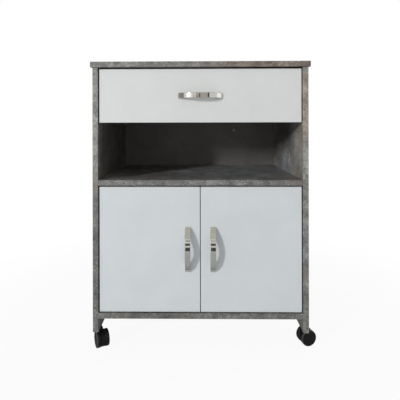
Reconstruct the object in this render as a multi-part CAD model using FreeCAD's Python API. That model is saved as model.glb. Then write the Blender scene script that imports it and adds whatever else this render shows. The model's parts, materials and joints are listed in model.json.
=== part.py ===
import FreeCAD, Part
import math
import os
from FreeCAD import Vector

# Kitchen cabinet on casters: a drawer, an open niche and a compartment behind two doors.
# Millimetres. +X is the viewer's right, +Y the back, +Z up. z = 0 is the floor.

# Carcass
TOTAL_HEIGHT = 800.0
TOP_WIDTH = 600.0
TOP_DEPTH = 400.0
TOP_FRONT_OVERHANG = 5.0
TOP_SIDE_OVERHANG = 5.0
TOP_BACK_OVERHANG = 4.0
BOARD = 15.0
EDGE_ROUND = 0.8
SIDE_FOOT = 37.0
SHELF_TOP = 476.0
BACK_THICKNESS = 3.0
BACK_INSET = 3.0
FRONT_RECESS = 4.0

# Board joints: cam locks, cam bolts and dowels
CAM_INSET = 68.0
CAM_DIAMETER = 15.0
CAM_DEPTH = 12.0
CAM_SETBACK = 24.0
CAM_SLOT = 2.0
BOLT_THREAD_DIAMETER = 6.0
BOLT_THREAD_LENGTH = 10.0
BOLT_SHANK_DIAMETER = 6.6
BOLT_PAST_CAM_CENTRE = 3.0
DOWEL_DIAMETER = 8.0
DOWEL_LENGTH = 30.0
DOWEL_IN_FACE = 10.0
DOWEL_OFFSET = 32.0

# Back panel fixings
NAIL_HEAD_DIAMETER = 5.0
NAIL_HEAD_HEIGHT = 0.7
NAIL_DIAMETER = 1.8
NAIL_LENGTH = 18.0
NAIL_INSET = 40.0
NAILS_PER_SIDE = 4
CAP_DIAMETER = 10.0
CAP_HEIGHT = 1.2
CAP_SHANK_DIAMETER = 7.0
CAP_X = 130.0
CAP_ABOVE_SHELF = 131.0

# Drawer
DRAWER_FRONT_HEIGHT = 147.0
DRAWER_TOP_GAP = 4.5
DRAWER_SIDE_GAP = 3.0
DRAWER_BOARD = 12.0
DRAWER_SIDE_HEIGHT = 100.0
DRAWER_BACK_CLEARANCE = 22.0
DRAWER_LIFT = 18.0
DRAWER_BOTTOM_THICKNESS = 3.0
GROOVE_LIFT = 10.0
GROOVE_DEPTH = 6.0
DRAWER_CAM_DIAMETER = 12.0
DRAWER_CAM_DEPTH = 9.5
DRAWER_CAM_INSET = 28.0
CORNER_SCREW_LENGTH = 35.0

# Drawer runners
RUNNER_SPACE = 12.5
RUNNER_SETBACK = 2.0
STEEL = 1.2
TRACK_WIDTH = 10.5
LIP_WIDTH = 5.5
DRAWER_TRACK_WIDTH = 6.0
DRAWER_LEG_HEIGHT = 15.0
WRAP_WIDTH = 9.0
ROLLER_DIAMETER = 17.0
ROLLER_WIDTH = 6.0
ROLLER_PIN_DIAMETER = 5.0
ROLLER_HEAD_DIAMETER = 8.0
ROLLER_HEAD_HEIGHT = 0.8
ROLLER_INSET = 12.0
RUNNER_SCREW_INSET = 45.0

# Doors
DOOR_SIDE_GAP = 3.0
DOOR_CENTRE_GAP = 2.0
DOOR_TOP_GAP = 3.5
DOOR_BOTTOM_GAP = 2.5
HANDLE_FROM_EDGE = 33.5

# Bow handles
HANDLE_LENGTH = 123.0
HANDLE_SPACING = 96.0
HANDLE_WIDTH = 15.0
HANDLE_RISE = 28.0
HANDLE_STRIP = 4.0
HANDLE_FOOT = 2.5
HANDLE_SPAN = 86.0
HANDLE_ROUND = 1.2
HANDLE_HOLE_DEPTH = 8.0
HANDLE_SCREW_DIAMETER = 4.0
HANDLE_SCREW_HEAD_DIAMETER = 8.0
HANDLE_SCREW_HEAD_HEIGHT = 2.2

# Concealed hinges. Across: from the side panel's inner face. Deep: from the door's front face.
HINGE_INSET = 80.0
DOOR_OPENING = 95.0
SWING_FROM_EDGE = 12.0
SWING_DEEP = 8.0
CUP_FROM_EDGE = 21.5
CUP_DIAMETER = 35.0
CUP_DEPTH = 11.2
CUP_WALL = 0.8
CUP_NOTCH_HEIGHT = 15.0
CUP_NOTCH_DEPTH = 4.5
CUP_PLATE_THICKNESS = 1.2
CUP_PLATE_LENGTH = 56.0
CUP_PLATE_WIDTH = 13.0
CUP_SCREW_SPACING = 48.0
HINGE_PIN_DIAMETER = 3.0
EYE_DIAMETER = 5.4
FINGER_THICKNESS = 3.0
FINGER_HEIGHT = 10.0
ELBOW_FROM_SWING = 15.0
ELBOW_DEEP = 8.5
ELBOW_DIAMETER = 5.6
ARM_HEIGHT = 13.0
ARM_BODY_THICKNESS = 8.0
ARM_BACK_DEEP = 72.0
PLATE_THICKNESS = 3.0
PLATE_DEEP = 38.0
PLATE_WING_HEIGHT = 44.0
PLATE_WING_WIDTH = 14.0
PLATE_SCREW_SPACING = 32.0

# Wood screws
SCREW_DIAMETER = 3.2
SCREW_LENGTH = 11.0
SCREW_HEAD_DIAMETER = 6.4
SCREW_HEAD_HEIGHT = 1.3

# Casters
CASTER_HEIGHT = 60.0
CASTER_INSET = 52.5
WHEEL_DIAMETER = 45.0
WHEEL_WIDTH = 11.2
WHEEL_SPACING = 12.0
WHEEL_BEVEL = 2.0
WHEEL_DISH_DEPTH = 1.0
WHEEL_DISH_DIAMETER = 34.0
WEB_INSET = 1.0
TRAIL = 16.0
AXLE_DIAMETER = 5.0
AXLE_IN_WHEEL = 8.0
BOSS_DIAMETER = 12.0
BOSS_ABOVE_WHEELS = 1.0
STEM_DIAMETER = 8.0
STEM_IN_SIDE = 28.0
STEM_IN_BOSS = 14.0
COLLAR_DIAMETER = 11.0
COLLAR_HEIGHT = 1.5
SOCKET_DIAMETER = 10.6
SOCKET_LENGTH = 30.0
FRONT_LEFT_TRAIL_ANGLE = -62.0
FRONT_RIGHT_TRAIL_ANGLE = 15.0
REAR_LEFT_TRAIL_ANGLE = 189.0
REAR_RIGHT_TRAIL_ANGLE = 60.0

# Clearances
FIT = 0.05
SLACK = 0.3
PANEL_SLACK = 0.2
WHEEL_CLEARANCE = 0.7

# Derived sizes
CARCASS_WIDTH = TOP_WIDTH - 2 * TOP_SIDE_OVERHANG
SIDE_DEPTH = TOP_DEPTH - TOP_FRONT_OVERHANG - TOP_BACK_OVERHANG
DRAWER_LENGTH = SIDE_DEPTH - FRONT_RECESS - BOARD - DRAWER_BACK_CLEARANCE
RUNNER_LENGTH = DRAWER_LENGTH - 2 * RUNNER_SETBACK
INNER_HALF = CARCASS_WIDTH / 2 - BOARD
TOP_UNDERSIDE = TOTAL_HEIGHT - BOARD
BOTTOM_TOP = CASTER_HEIGHT + SIDE_FOOT + BOARD
FRONT_REACH = max(HANDLE_RISE - FRONT_RECESS, TOP_FRONT_OVERHANG)
BACK_REACH = max(TOP_DEPTH - TOP_FRONT_OVERHANG, SIDE_DEPTH + BACK_THICKNESS + NAIL_HEAD_HEIGHT)
Y_FRONT = (FRONT_REACH - BACK_REACH) / 2
Y_BACK = Y_FRONT + SIDE_DEPTH
FACE_Y = Y_FRONT + FRONT_RECESS
FACE_BACK_Y = FACE_Y + BOARD
DRAWER_FRONT_BOTTOM = TOP_UNDERSIDE - DRAWER_TOP_GAP - DRAWER_FRONT_HEIGHT
DRAWER_HALF = INNER_HALF - RUNNER_SPACE
DRAWER_BASE = DRAWER_FRONT_BOTTOM + DRAWER_LIFT
DRAWER_END_Y = FACE_BACK_Y + DRAWER_LENGTH
DRAWER_FLOOR_TOP = DRAWER_BASE + GROOVE_LIFT + DRAWER_BOTTOM_THICKNESS
DOOR_BOTTOM = BOTTOM_TOP + DOOR_BOTTOM_GAP
DOOR_TOP = SHELF_TOP - BOARD - DOOR_TOP_GAP
SIDES = (("left", -1), ("right", 1))
X, Y, Z = Vector(1, 0, 0), Vector(0, 1, 0), Vector(0, 0, 1)

nodes = {}
cuts = {}


def box(x0, x1, y0, y1, z0, z1):
    """Box between two corners, given in any order."""
    low = Vector(min(x0, x1), min(y0, y1), min(z0, z1))
    return Part.makeBox(abs(x1 - x0), abs(y1 - y0), abs(z1 - z0), low)


def rod(diameter, start, along, length):
    """Cylinder from a start point along a direction."""
    return Part.makeCylinder(diameter / 2, length, start, along)


def joined(shapes):
    """Shapes that are one piece, fused without seams."""
    return shapes[0].fuse(shapes[1:]).removeSplitter()


def rounded(shape, radius, wanted):
    """Rounds the edges for which wanted(bounding box of the edge) is true."""
    return shape.makeFillet(radius, [edge for edge in shape.Edges if wanted(edge.BoundBox)])


def group(name, solid):
    """Adds one solid to a node of separate solids."""
    nodes.setdefault(name, []).append(solid)


def cut_from(name, tool):
    """Keeps a hole for the node of that name."""
    cuts.setdefault(name, []).append(tool)


def mirrored(shape):
    """The same piece on the other side of the cabinet."""
    return shape.mirror(Vector(0, 0, 0), X)


def screw(node, head, along, into):
    """Pan-head wood screw seated at head, driven along a direction into the named pieces."""
    shank = rod(SCREW_DIAMETER, head, along, SCREW_LENGTH)
    cap = rod(SCREW_HEAD_DIAMETER, head, along * -1, SCREW_HEAD_HEIGHT)
    group(node, joined([shank, cap]))
    for name in into:
        cut_from(name, rod(SCREW_DIAMETER + 2 * FIT, head, along, SCREW_LENGTH + SLACK))


def cam_joint(joint, axis, face, half_board, diameter, depth, names):
    """Cam lock in the end of one board, its bolt screwed into the board that lies beyond the joint."""
    cams, bolts, panel, beyond = names
    bore = BOLT_SHANK_DIAMETER + 2 * FIT
    centre = joint - axis * CAM_SETBACK
    outside = centre + face * half_board
    bolt_end = centre - axis * BOLT_PAST_CAM_CENTRE
    bolt_bore = rod(bore, bolt_end - axis * SLACK, axis, CAM_SETBACK + BOLT_PAST_CAM_CENTRE + SLACK)
    driver = face.cross(axis)
    slot_start = outside - driver * diameter / 2 - axis * CAM_SLOT / 2
    slot_corner = slot_start + face * CAM_SLOT
    slot_points = [
        slot_start - face * CAM_SLOT,
        slot_corner,
        slot_corner + axis * CAM_SLOT,
        slot_start - face * CAM_SLOT + axis * CAM_SLOT,
    ]
    slot = Part.Face(Part.makePolygon(slot_points + slot_points[:1])).extrude(driver * diameter)
    cam = rod(diameter, outside, face * -1, depth)
    group(cams, cam.cut([bolt_bore, slot]))
    thread = rod(BOLT_THREAD_DIAMETER, joint, axis, BOLT_THREAD_LENGTH)
    shank = rod(BOLT_SHANK_DIAMETER, joint, axis * -1, CAM_SETBACK + BOLT_PAST_CAM_CENTRE)
    group(bolts, joined([thread, shank]))
    cut_from(panel, bolt_bore)
    cut_from(panel, rod(diameter + 2 * FIT, outside, face * -1, depth + FIT))
    cut_from(beyond, rod(BOLT_THREAD_DIAMETER + 2 * FIT, joint, axis, BOLT_THREAD_LENGTH + SLACK))


def dowel_joint(joint, axis, panel, beyond):
    """Glued dowel across a joint: its long end in the board's edge, its short end in the face beyond."""
    in_edge = DOWEL_LENGTH - DOWEL_IN_FACE
    group("wooden_dowels", rod(DOWEL_DIAMETER, joint - axis * in_edge, axis, DOWEL_LENGTH))
    hole = DOWEL_DIAMETER + 2 * FIT
    cut_from(panel, rod(hole, joint, axis * -1, in_edge + SLACK))
    cut_from(beyond, rod(hole, joint, axis, DOWEL_IN_FACE + SLACK))


# Carcass boards
def make_boards():
    top_front = Y_FRONT - TOP_FRONT_OVERHANG
    front_limit = Y_FRONT + EDGE_ROUND
    half_top = TOP_WIDTH / 2
    top = box(-half_top, half_top, top_front, top_front + TOP_DEPTH, TOP_UNDERSIDE, TOTAL_HEIGHT)
    nodes["top_panel"] = rounded(top, EDGE_ROUND, lambda b: True)
    for name, sign in SIDES:
        outer = sign * CARCASS_WIDTH / 2
        side = box(outer, sign * INNER_HALF, Y_FRONT, Y_BACK, CASTER_HEIGHT, TOP_UNDERSIDE)
        nodes[name + "_side_panel"] = rounded(
            side, EDGE_ROUND, lambda b: b.YMax < front_limit and b.ZLength > BOARD
        )
    for name, top_z in (("middle_shelf", SHELF_TOP), ("bottom_panel", BOTTOM_TOP)):
        shelf = box(-INNER_HALF, INNER_HALF, Y_FRONT, Y_BACK, top_z - BOARD, top_z)
        nodes[name] = rounded(shelf, EDGE_ROUND, lambda b: b.YMax < front_limit and b.XLength > BOARD)
    back_half = CARCASS_WIDTH / 2 - BACK_INSET
    nodes["back_panel"] = box(
        -back_half, back_half, Y_BACK, Y_BACK + BACK_THICKNESS, BOTTOM_TOP - BOARD, TOP_UNDERSIDE
    )


# Cams and dowels of the carcass
def make_board_joints():
    rows = ((Y_FRONT + CAM_INSET, DOWEL_OFFSET), (Y_BACK - CAM_INSET, -DOWEL_OFFSET))
    for side_name, sign in SIDES:
        side = side_name + "_side_panel"
        for y, dowel_shift in rows:
            shift = Vector(0, dowel_shift, 0)
            for shelf, top_z in (("middle_shelf", SHELF_TOP), ("bottom_panel", BOTTOM_TOP)):
                joint = Vector(sign * INNER_HALF, y, top_z - BOARD / 2)
                names = ("cam_locks", "cam_bolts", shelf, side)
                cam_joint(joint, X * sign, Z * -1, BOARD / 2, CAM_DIAMETER, CAM_DEPTH, names)
                dowel_joint(joint + shift, X * sign, shelf, side)
            joint = Vector(sign * (INNER_HALF + BOARD / 2), y, TOP_UNDERSIDE)
            names = ("cam_locks", "cam_bolts", side, "top_panel")
            cam_joint(joint, Z, X * -sign, BOARD / 2, CAM_DIAMETER, CAM_DEPTH, names)
            dowel_joint(joint + shift, Z, side, "top_panel")


# Nails and the small cap of the back panel
def make_back_fixings():
    spots = []
    low = BOTTOM_TOP + NAIL_INSET
    high = TOP_UNDERSIDE - NAIL_INSET
    for name, sign in SIDES:
        for step in range(NAILS_PER_SIDE):
            z = low + (high - low) * step / (NAILS_PER_SIDE - 1)
            spots.append((sign * (INNER_HALF + BOARD / 2), z, name + "_side_panel"))
    for step in (-1, 0, 1):
        x = step * (INNER_HALF - 2 * NAIL_INSET)
        spots.append((x, SHELF_TOP - BOARD / 2, "middle_shelf"))
        spots.append((x, BOTTOM_TOP - BOARD / 2, "bottom_panel"))
    for x, z, board in spots:
        head = Vector(x, Y_BACK + BACK_THICKNESS, z)
        shank = rod(NAIL_DIAMETER, head, Y * -1, NAIL_LENGTH)
        group("back_panel_nails", joined([shank, rod(NAIL_HEAD_DIAMETER, head, Y, NAIL_HEAD_HEIGHT)]))
        for name in ("back_panel", board):
            cut_from(name, rod(NAIL_DIAMETER + 2 * FIT, head, Y * -1, NAIL_LENGTH + SLACK))
    seat = Vector(CAP_X, Y_BACK, SHELF_TOP + CAP_ABOVE_SHELF)
    plug = rod(CAP_SHANK_DIAMETER, seat, Y, BACK_THICKNESS)
    nodes["back_panel_cap"] = joined([rod(CAP_DIAMETER, seat, Y * -1, CAP_HEIGHT), plug])
    cut_from("back_panel", rod(CAP_SHANK_DIAMETER + 2 * FIT, seat, Y, BACK_THICKNESS))


# Bow handle, lying along X with its feet on y = 0
def bow_handle():
    end = HANDLE_LENGTH / 2
    span = HANDLE_SPAN / 2
    left_tip, right_tip = Vector(-end, -HANDLE_FOOT, 0), Vector(end, -HANDLE_FOOT, 0)
    left_heel, right_heel = Vector(-span, 0, 0), Vector(span, 0, 0)
    left_end, right_end = Vector(-end, 0, 0), Vector(end, 0, 0)
    outer = Part.Arc(left_tip, Vector(0, -HANDLE_RISE, 0), right_tip)
    inner = Part.Arc(right_heel, Vector(0, HANDLE_STRIP - HANDLE_RISE, 0), left_heel)
    outline = [
        outer.toShape(),
        Part.makeLine(right_tip, right_end),
        Part.makeLine(right_end, right_heel),
        inner.toShape(),
        Part.makeLine(left_heel, left_end),
        Part.makeLine(left_end, left_tip),
    ]
    bow = Part.Face(Part.Wire(outline)).extrude(Z * HANDLE_WIDTH)
    bow.translate(Z * (-HANDLE_WIDTH / 2))
    bow = rounded(bow, HANDLE_ROUND, lambda b: b.XLength > HANDLE_SPAN + HANDLE_STRIP)
    holes = []
    for sign in (-1, 1):
        foot = Vector(sign * HANDLE_SPACING / 2, 0, 0)
        holes.append(rod(HANDLE_SCREW_DIAMETER + 2 * FIT, foot, Y * -1, HANDLE_HOLE_DEPTH))
    return bow.cut(holes)


def handle_screw(foot):
    """Machine screw that comes through the front from behind into a handle's foot."""
    back = foot + Y * BOARD
    in_handle = HANDLE_HOLE_DEPTH - SLACK
    shank = rod(HANDLE_SCREW_DIAMETER, foot - Y * in_handle, Y, BOARD + in_handle)
    return joined([shank, rod(HANDLE_SCREW_HEAD_DIAMETER, back, Y, HANDLE_SCREW_HEAD_HEIGHT)])


# Drawer box and front
def make_drawer():
    half = INNER_HALF - DRAWER_SIDE_GAP
    front_top = DRAWER_FRONT_BOTTOM + DRAWER_FRONT_HEIGHT
    front = box(-half, half, FACE_Y, FACE_BACK_Y, DRAWER_FRONT_BOTTOM, front_top)
    nodes["drawer_front"] = rounded(front, EDGE_ROUND, lambda b: True)
    inside = DRAWER_HALF - DRAWER_BOARD
    side_top = DRAWER_BASE + DRAWER_SIDE_HEIGHT
    groove_low = DRAWER_BASE + GROOVE_LIFT
    groove = box(
        -inside - GROOVE_DEPTH,
        inside + GROOVE_DEPTH,
        FACE_BACK_Y - GROOVE_DEPTH,
        DRAWER_END_Y,
        groove_low,
        DRAWER_FLOOR_TOP,
    )
    for name, sign in SIDES:
        node = "drawer_" + name + "_side"
        nodes[node] = box(
            sign * DRAWER_HALF, sign * inside, FACE_BACK_Y, DRAWER_END_Y, DRAWER_BASE, side_top
        )
        cut_from(node, groove)
    cut_from("drawer_front", groove)
    nodes["drawer_bottom"] = box(
        -inside - GROOVE_DEPTH + PANEL_SLACK,
        inside + GROOVE_DEPTH - PANEL_SLACK,
        FACE_BACK_Y - GROOVE_DEPTH + PANEL_SLACK,
        DRAWER_END_Y,
        groove_low,
        DRAWER_FLOOR_TOP,
    )
    back_y = DRAWER_END_Y - DRAWER_BOARD
    nodes["drawer_back"] = box(-inside, inside, back_y, DRAWER_END_Y, DRAWER_FLOOR_TOP, side_top)
    heights = (DRAWER_FLOOR_TOP + DRAWER_CAM_INSET / 2, side_top - DRAWER_CAM_INSET / 2)
    for name, sign in SIDES:
        side = "drawer_" + name + "_side"
        for z in heights:
            joint = Vector(sign * (inside + DRAWER_BOARD / 2), FACE_BACK_Y, z)
            names = ("drawer_cam_locks", "drawer_cam_bolts", side, "drawer_front")
            cam_joint(
                joint, Y * -1, X * -sign, DRAWER_BOARD / 2, DRAWER_CAM_DIAMETER, DRAWER_CAM_DEPTH, names
            )
            seat = Vector(sign * DRAWER_HALF, back_y + DRAWER_BOARD / 2, z)
            along = X * -sign
            corner = joined(
                [
                    rod(SCREW_DIAMETER, seat, along, CORNER_SCREW_LENGTH),
                    rod(SCREW_HEAD_DIAMETER, seat, along, SCREW_HEAD_HEIGHT),
                ]
            )
            group("drawer_corner_screws", corner)
            cut_from(side, rod(SCREW_HEAD_DIAMETER + 2 * FIT, seat, along, SCREW_HEAD_HEIGHT))
            for board in (side, "drawer_back"):
                cut_from(board, rod(SCREW_DIAMETER + 2 * FIT, seat, along, CORNER_SCREW_LENGTH + SLACK))
    middle = Vector(0, FACE_Y, DRAWER_FRONT_BOTTOM + DRAWER_FRONT_HEIGHT / 2)
    handle = bow_handle()
    handle.translate(middle)
    nodes["drawer_handle"] = handle
    for sign in (-1, 1):
        foot = middle + X * (sign * HANDLE_SPACING / 2)
        group("drawer_handle_screws", handle_screw(foot))
        cut_from("drawer_front", rod(HANDLE_SCREW_DIAMETER + 2 * FIT, foot, Y, BOARD))


# Roller runners: a profile on the cabinet side and one under the drawer side, a roller on each.
# Heights are counted from the underside of the cabinet profile.
REAR_ROLLER_Z = STEEL + SLACK + ROLLER_DIAMETER / 2
FRONT_ROLLER_Z = REAR_ROLLER_Z + SLACK
DRAWER_TRACK_Z = FRONT_ROLLER_Z + ROLLER_DIAMETER / 2 + SLACK
LIP_Z = DRAWER_TRACK_Z - SLACK
LEG_BOTTOM_Z = DRAWER_TRACK_Z + STEEL - DRAWER_LEG_HEIGHT
RUNNER_Z = DRAWER_BASE - LEG_BOTTOM_Z - STEEL
RUNNER_Y = FACE_BACK_Y + RUNNER_SETBACK
RUNNER_END_Y = RUNNER_Y + RUNNER_LENGTH
FRONT_ROLLER_Y = RUNNER_Y + ROLLER_INSET
REAR_ROLLER_Y = RUNNER_END_Y - ROLLER_INSET
PIN_HEAD_ACROSS = RUNNER_SPACE - STEEL - SLACK - ROLLER_HEAD_HEIGHT
FRONT_ROLLER_ACROSS = PIN_HEAD_ACROSS - SLACK - ROLLER_WIDTH
REAR_HEAD_ACROSS = STEEL + SCREW_HEAD_HEIGHT + SLACK
REAR_ROLLER_ACROSS = REAR_HEAD_ACROSS + ROLLER_HEAD_HEIGHT + SLACK


def make_runners():
    wall = -INNER_HALF
    lip_start = FRONT_ROLLER_Y + ROLLER_DIAMETER / 2 + 3 * SLACK
    front_pin = Vector(wall, FRONT_ROLLER_Y, RUNNER_Z + FRONT_ROLLER_Z)
    rear_pin = Vector(wall + REAR_HEAD_ACROSS, REAR_ROLLER_Y, RUNNER_Z + REAR_ROLLER_Z)
    leg_across = RUNNER_SPACE - STEEL

    def strip(across0, across1, y0, y1, z0, z1):
        return box(wall + across0, wall + across1, y0, y1, RUNNER_Z + z0, RUNNER_Z + z1)

    cabinet_profile = joined(
        [
            strip(0, STEEL, RUNNER_Y, RUNNER_END_Y, 0, LIP_Z + STEEL),
            strip(0, TRACK_WIDTH, RUNNER_Y, RUNNER_END_Y, 0, STEEL),
            strip(0, LIP_WIDTH, lip_start, RUNNER_END_Y, LIP_Z, LIP_Z + STEEL),
            rod(ROLLER_PIN_DIAMETER, front_pin, X, PIN_HEAD_ACROSS),
            rod(ROLLER_HEAD_DIAMETER, front_pin + X * PIN_HEAD_ACROSS, X, ROLLER_HEAD_HEIGHT),
        ]
    )
    track_across = RUNNER_SPACE - DRAWER_TRACK_WIDTH
    track_top = DRAWER_TRACK_Z + STEEL
    wrap_across = RUNNER_SPACE + WRAP_WIDTH
    wrap_top = LEG_BOTTOM_Z + STEEL
    drawer_profile = joined(
        [
            strip(leg_across, RUNNER_SPACE, RUNNER_Y, RUNNER_END_Y, LEG_BOTTOM_Z, track_top),
            strip(track_across, RUNNER_SPACE, RUNNER_Y, RUNNER_END_Y, DRAWER_TRACK_Z, track_top),
            strip(leg_across, wrap_across, RUNNER_Y, RUNNER_END_Y, LEG_BOTTOM_Z, wrap_top),
            rod(ROLLER_PIN_DIAMETER, rear_pin, X, leg_across - REAR_HEAD_ACROSS + STEEL / 2),
            rod(ROLLER_HEAD_DIAMETER, rear_pin, X, ROLLER_HEAD_HEIGHT),
        ]
    )
    bore = ROLLER_PIN_DIAMETER + 2 * FIT
    front_start = front_pin + X * FRONT_ROLLER_ACROSS
    rear_start = rear_pin + X * (REAR_ROLLER_ACROSS - REAR_HEAD_ACROSS)
    left_shapes = {"cabinet_runner": cabinet_profile, "drawer_runner": drawer_profile}
    for roller, start in (("front_roller", front_start), ("rear_roller", rear_start)):
        wheel = rod(ROLLER_DIAMETER, start, X, ROLLER_WIDTH)
        left_shapes[roller] = wheel.cut(rod(bore, start, X, ROLLER_WIDTH))
    for name, shape in left_shapes.items():
        nodes["left_" + name] = shape
        nodes["right_" + name] = mirrored(shape)
    for name, sign in SIDES:
        inner_face = sign * (INNER_HALF - STEEL)
        under = sign * (DRAWER_HALF - WRAP_WIDTH / 2)
        for y in (RUNNER_Y + RUNNER_SCREW_INSET, RUNNER_END_Y - RUNNER_SCREW_INSET):
            head = Vector(inner_face, y, RUNNER_Z + LIP_Z / 2)
            screw("carcass_screws", head, X * sign, (name + "_side_panel", name + "_cabinet_runner"))
            head = Vector(under, y, RUNNER_Z + LEG_BOTTOM_Z)
            into = ("drawer_" + name + "_side", name + "_drawer_runner")
            screw("drawer_runner_screws", head, Z, into)


# Concealed hinges with one pivot: a pin across the cup turns in the eye at the end of the arm.
# Points are (across, deep) for the left door.
SWING_ACROSS = DOOR_SIDE_GAP + SWING_FROM_EDGE
CUP_ACROSS = DOOR_SIDE_GAP + CUP_FROM_EDGE
ELBOW_ACROSS = SWING_ACROSS + ELBOW_FROM_SWING


def at(across, deep, z):
    """Point of the left door's hinge in the cabinet."""
    return Vector(across - INNER_HALF, FACE_Y + deep, z)


def slab(points, z, height):
    """Flat outline given in (across, deep), centred on a height."""
    corners = [at(across, deep, z - height / 2) for across, deep in points]
    return Part.Face(Part.makePolygon(corners + corners[:1])).extrude(Z * height)


def upright(diameter, across, deep, z, height):
    """Upright cylinder centred on a height."""
    return rod(diameter, at(across, deep, z - height / 2), Z, height)


def hinge_cup(z):
    rim = CUP_DIAMETER - 2 * CUP_WALL
    bottom = at(CUP_ACROSS, BOARD - CUP_DEPTH, z)
    shell = rod(CUP_DIAMETER, bottom, Y, CUP_DEPTH)
    near = CUP_ACROSS - CUP_PLATE_WIDTH / 6
    plate = box(
        at(near, 0, 0).x,
        at(near + CUP_PLATE_WIDTH, 0, 0).x,
        FACE_BACK_Y,
        FACE_BACK_Y + CUP_PLATE_THICKNESS,
        z - CUP_PLATE_LENGTH / 2,
        z + CUP_PLATE_LENGTH / 2,
    )
    hollow = rod(rim, bottom + Y * CUP_WALL, Y, CUP_DEPTH + CUP_PLATE_THICKNESS)
    notch = slab(
        [
            (CUP_ACROSS - CUP_DIAMETER, BOARD - CUP_NOTCH_DEPTH),
            (CUP_ACROSS - CUP_DIAMETER / 4, BOARD - CUP_NOTCH_DEPTH),
            (CUP_ACROSS - CUP_DIAMETER / 4, BOARD),
            (CUP_ACROSS - CUP_DIAMETER, BOARD),
        ],
        z,
        CUP_NOTCH_HEIGHT,
    )
    body = joined([shell, plate]).cut([hollow, notch])
    pin = upright(HINGE_PIN_DIAMETER, SWING_ACROSS, SWING_DEEP, z, CUP_DIAMETER)
    inside_wall = rod(rim + CUP_WALL, bottom, Y, CUP_DEPTH)
    return joined([body, pin.common(inside_wall)])


def hinge_arm(z):
    half = ELBOW_DIAMETER / 2
    crank = BOARD + ELBOW_DIAMETER
    body_top = PLATE_THICKNESS + ARM_BODY_THICKNESS
    outline = [
        (ELBOW_ACROSS - half, ELBOW_DEEP),
        (ELBOW_ACROSS - half, crank),
        (body_top, PLATE_DEEP - ARM_BODY_THICKNESS),
        (PLATE_THICKNESS, PLATE_DEEP),
        (PLATE_THICKNESS, ARM_BACK_DEEP),
        (body_top, ARM_BACK_DEEP),
        (body_top, PLATE_DEEP + ARM_BODY_THICKNESS / 2),
        (ELBOW_ACROSS + half, crank + ELBOW_DIAMETER),
        (ELBOW_ACROSS + half, ELBOW_DEEP),
    ]
    reach = math.hypot(ELBOW_FROM_SWING, ELBOW_DEEP - SWING_DEEP)
    aside_across = (SWING_DEEP - ELBOW_DEEP) / reach * FINGER_THICKNESS / 2
    aside_deep = ELBOW_FROM_SWING / reach * FINGER_THICKNESS / 2
    finger = [
        (SWING_ACROSS + aside_across, SWING_DEEP + aside_deep),
        (ELBOW_ACROSS + aside_across, ELBOW_DEEP + aside_deep),
        (ELBOW_ACROSS - aside_across, ELBOW_DEEP - aside_deep),
        (SWING_ACROSS - aside_across, SWING_DEEP - aside_deep),
    ]
    arm = joined(
        [
            slab(outline, z, ARM_HEIGHT),
            upright(ELBOW_DIAMETER, ELBOW_ACROSS, ELBOW_DEEP, z, ARM_HEIGHT),
            slab(finger, z, FINGER_HEIGHT),
            upright(EYE_DIAMETER, SWING_ACROSS, SWING_DEEP, z, FINGER_HEIGHT),
        ]
    )
    return arm.cut(upright(HINGE_PIN_DIAMETER + 2 * FIT, SWING_ACROSS, SWING_DEEP, z, ARM_HEIGHT))


def hinge_plate(z):
    half = ARM_HEIGHT / 2
    deep_middle = (PLATE_DEEP + ARM_BACK_DEEP) / 2
    wing = PLATE_WING_WIDTH / 2
    spine = box(
        -INNER_HALF,
        PLATE_THICKNESS - INNER_HALF,
        FACE_Y + PLATE_DEEP,
        FACE_Y + ARM_BACK_DEEP,
        z - half,
        z + half,
    )
    wings = box(
        -INNER_HALF,
        PLATE_THICKNESS - INNER_HALF,
        FACE_Y + deep_middle - wing,
        FACE_Y + deep_middle + wing,
        z - PLATE_WING_HEIGHT / 2,
        z + PLATE_WING_HEIGHT / 2,
    )
    return joined([spine, wings])


# Doors with their handles and hinges. The right door is the left one mirrored.
def make_doors():
    hinge_edge = DOOR_SIDE_GAP - INNER_HALF
    free_edge = -DOOR_CENTRE_GAP / 2
    middle_z = (DOOR_BOTTOM + DOOR_TOP) / 2
    door = box(hinge_edge, free_edge, FACE_Y, FACE_BACK_Y, DOOR_BOTTOM, DOOR_TOP)
    door = rounded(door, EDGE_ROUND, lambda b: True)
    handle = bow_handle()
    handle.rotate(Vector(0, 0, 0), Y, 90)
    handle_middle = Vector(free_edge - HANDLE_FROM_EDGE, FACE_Y, middle_z)
    handle.translate(handle_middle)
    screws = []
    holes = []
    for sign in (-1, 1):
        foot = handle_middle + Z * (sign * HANDLE_SPACING / 2)
        screws.append(handle_screw(foot))
        holes.append(rod(HANDLE_SCREW_DIAMETER + 2 * FIT, foot, Y, BOARD))
    cups = []
    for z in (DOOR_BOTTOM + HINGE_INSET, DOOR_TOP - HINGE_INSET):
        cup = hinge_cup(z)
        back = at(CUP_ACROSS, BOARD, z)
        holes.append(rod(CUP_DIAMETER + 2 * FIT, back, Y * -1, CUP_DEPTH + FIT))
        for sign in (-1, 1):
            seat = at(CUP_ACROSS + CUP_PLATE_WIDTH / 3, BOARD + CUP_PLATE_THICKNESS, z)
            seat = seat + Z * (sign * CUP_SCREW_SPACING / 2)
            shank = rod(SCREW_DIAMETER, seat, Y * -1, SCREW_LENGTH)
            screws.append(joined([shank, rod(SCREW_HEAD_DIAMETER, seat, Y, SCREW_HEAD_HEIGHT)]))
            hole = rod(SCREW_DIAMETER + 2 * FIT, seat, Y * -1, SCREW_LENGTH + SLACK)
            holes.append(hole)
            cup = cup.cut(hole)
        cups.append(cup)
        add_hinge_mount(z)
    left_shapes = {
        "door": [door.cut(holes)],
        "door_handle": [handle],
        "door_screws": screws,
        "hinge_cups": cups,
    }
    for name, shapes in left_shapes.items():
        nodes["left_" + name] = shapes
        nodes["right_" + name] = [mirrored(shape) for shape in shapes]


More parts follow.
